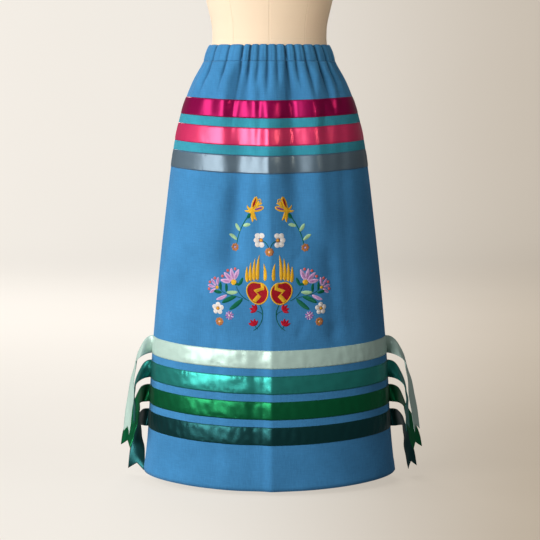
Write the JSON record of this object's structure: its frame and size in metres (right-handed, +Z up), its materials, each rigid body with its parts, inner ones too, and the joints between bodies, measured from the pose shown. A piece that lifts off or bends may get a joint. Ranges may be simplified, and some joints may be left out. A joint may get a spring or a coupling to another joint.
{
  "type": "ribbon skirt on a limbless dress form",
  "caption": "Long gathered-waist skirt with satin ribbon bands, free swallowtail ribbon ends at the side seams and floral embroidery, worn by a limbless dress form.",
  "frame": {"origin": "middle of the stand base's flat underside, on the floor", "axes": "+Z up along the stand's pole, front of the skirt towards -Y, +X towards the wearer's left side"},
  "size_m": [0.6658, 0.3813, 1.4903],
  "materials": {
    "blue_cotton": "matte plain-weave cotton broadcloth, cornflower blue",
    "teal_cotton": "matte teal cloth strip",
    "magenta_satin": "magenta polyester satin ribbon, soft gloss",
    "pink_satin": "pink polyester satin ribbon, soft gloss",
    "slate_satin": "slate polyester satin ribbon, soft gloss",
    "mint_satin": "mint polyester satin ribbon, soft gloss",
    "aqua_satin": "aqua polyester satin ribbon, soft gloss",
    "green_satin": "green polyester satin ribbon, soft gloss",
    "pine_satin": "pine polyester satin ribbon, soft gloss",
    "form_linen": "cream cotton jersey cover",
    "form_wood": "satin varnished wood",
    "stand_steel": "black powder coat"
  },
  "bodies": {
    "root": {"skirt_front": "blue_cotton", "skirt_back": "blue_cotton", "waistband": "blue_cotton", "ribbon_magenta_front": "magenta_satin", "ribbon_pink_front": "pink_satin", "ribbon_slate_front": "slate_satin", "ribbon_mint_front": "mint_satin", "ribbon_aqua_front": "aqua_satin", "ribbon_green_front": "green_satin", "ribbon_pine_front": "pine_satin", "strip_teal_1_front": "teal_cotton", "strip_teal_2_front": "teal_cotton", "ribbon_magenta_back": "magenta_satin", "ribbon_pink_back": "pink_satin", "ribbon_slate_back": "slate_satin", "ribbon_mint_back": "mint_satin", "ribbon_aqua_back": "aqua_satin", "ribbon_green_back": "green_satin", "ribbon_pine_back": "pine_satin", "strip_teal_1_back": "teal_cotton", "strip_teal_2_back": "teal_cotton", "tail_mint_left": "mint_satin", "tail_aqua_left": "aqua_satin", "tail_green_left": "green_satin", "tail_pine_left": "pine_satin", "tail_mint_right": "mint_satin", "tail_aqua_right": "aqua_satin", "tail_green_right": "green_satin", "tail_pine_right": "pine_satin", "form_torso": "form_linen", "form_neck_cap": "form_wood", "form_arm_plate_left": "form_wood", "form_arm_plate_right": "form_wood", "form_pole": "stand_steel", "form_flange": "stand_steel", "form_base": "stand_steel"}
  },
  "joints": []
}
